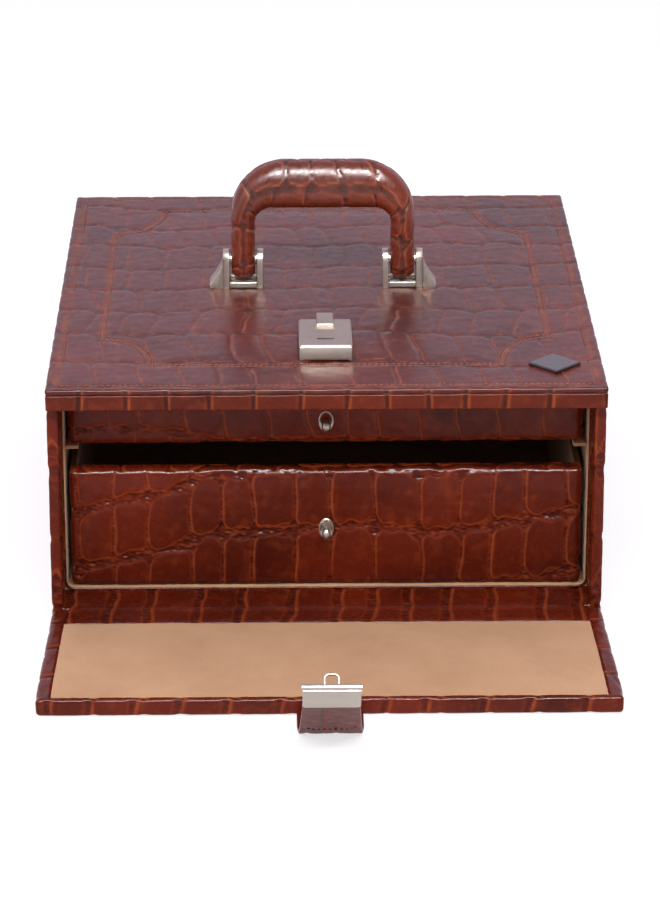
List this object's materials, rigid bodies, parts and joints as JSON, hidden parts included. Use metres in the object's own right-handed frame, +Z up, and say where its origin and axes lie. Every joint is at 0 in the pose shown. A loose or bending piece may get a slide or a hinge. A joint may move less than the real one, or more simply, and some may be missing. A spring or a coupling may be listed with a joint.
{
  "type": "jewelry case",
  "caption": "Leather-covered jewelry case with a drop-down front flap, suede-lined drawers, a strap hasp, a spring lock and a folding top handle",
  "frame": {"origin": "middle of the case's underside, on the surface it stands on", "axes": "+X to the case's right as seen from its front, +Y from the front opening to the back, +Z up; the flap lies open in front, towards -Y"},
  "size_m": [0.32, 0.5618, 0.227],
  "materials": {
    "leather": "glossy crocodile-embossed leather, deep red-brown with lighter orange-brown grooves",
    "suede": "tan suede, very fine nap",
    "board": "plain thin hardwood board, hidden under the leather and the suede",
    "nickel": "satin nickel plate",
    "steel": "plain steel sheet",
    "spring_steel": "bright spring wire",
    "gunmetal": "dark gunmetal enamel, blank"
  },
  "bodies": {
    "case": {"back_board": "board", "back_leather": "leather", "back_wall_lining": "suede", "badge": "gunmetal", "base_board": "board", "base_leather": "leather", "bracket_rivets": "nickel", "ceiling_lining": "suede", "floor_lining": "suede", "front_rail": "board", "front_rail_leather": "leather", "left_handle_bracket": "nickel", "left_runner": "suede", "left_side_board": "board", "left_side_leather": "leather", "left_wall_lining": "suede", "lock_case": "nickel", "lock_plate": "steel", "right_handle_bracket": "nickel", "right_runner": "suede", "right_side_board": "board", "right_side_leather": "leather", "right_wall_lining": "suede", "top_board": "board", "top_leather": "leather"},
    "flap": {"flap_board": "board", "flap_leather": "leather", "flap_lining": "suede", "hinge_leather": "leather", "strap_root": "leather"},
    "strap": {"hasp_plate": "nickel", "hasp_rivets": "nickel", "hasp_staple": "nickel", "strap_tongue": "leather"},
    "lower_drawer": {"lower_drawer_back": "board", "lower_drawer_bottom": "board", "lower_drawer_front": "board", "lower_drawer_front_leather": "leather", "lower_drawer_lining": "suede", "lower_drawer_sides": "board", "lower_knob": "nickel", "lower_knob_rosette": "nickel"},
    "upper_drawer": {"upper_drawer_back": "board", "upper_drawer_bottom": "board", "upper_drawer_front": "board", "upper_drawer_front_leather": "leather", "upper_drawer_lining": "suede", "upper_drawer_sides": "board", "upper_knob": "nickel", "upper_knob_rosette": "nickel"},
    "handle": {"handle_core": "board", "handle_leather": "leather", "handle_pins": "nickel"},
    "lock_slider": {"lock_catch": "steel", "lock_slider": "nickel", "lock_spring": "spring_steel"}
  },
  "joints": [
    {"name": "flap_hinge", "type": "hinge", "parent": "case", "child": "flap", "pos_m": [0, -0.177, 0.01], "axis": [1, 0, 0], "range_deg": [-90, 0]},
    {"name": "strap_bend", "type": "hinge", "parent": "flap", "child": "strap", "pos_m": [0, -0.3253, 0.0026], "axis": [1, 0, 0], "range_deg": [-45, 40]},
    {"name": "lower_drawer_slide", "type": "slide", "parent": "case", "child": "lower_drawer", "axis": [0, -1, 0], "range_m": [0, 0.18]},
    {"name": "upper_drawer_slide", "type": "slide", "parent": "case", "child": "upper_drawer", "axis": [0, -1, 0], "range_m": [0, 0.18]},
    {"name": "handle_pivot", "type": "hinge", "parent": "case", "child": "handle", "pos_m": [0, 0, 0.1655], "axis": [1, 0, 0], "range_deg": [-90, 90]},
    {"name": "lock_slide", "type": "slide", "parent": "case", "child": "lock_slider", "axis": [0, 1, 0], "range_m": [0, 0.004], "stiffness_N_per_m": 150, "springref_m": -0.002, "deforming": ["lock_spring"]}
  ]
}
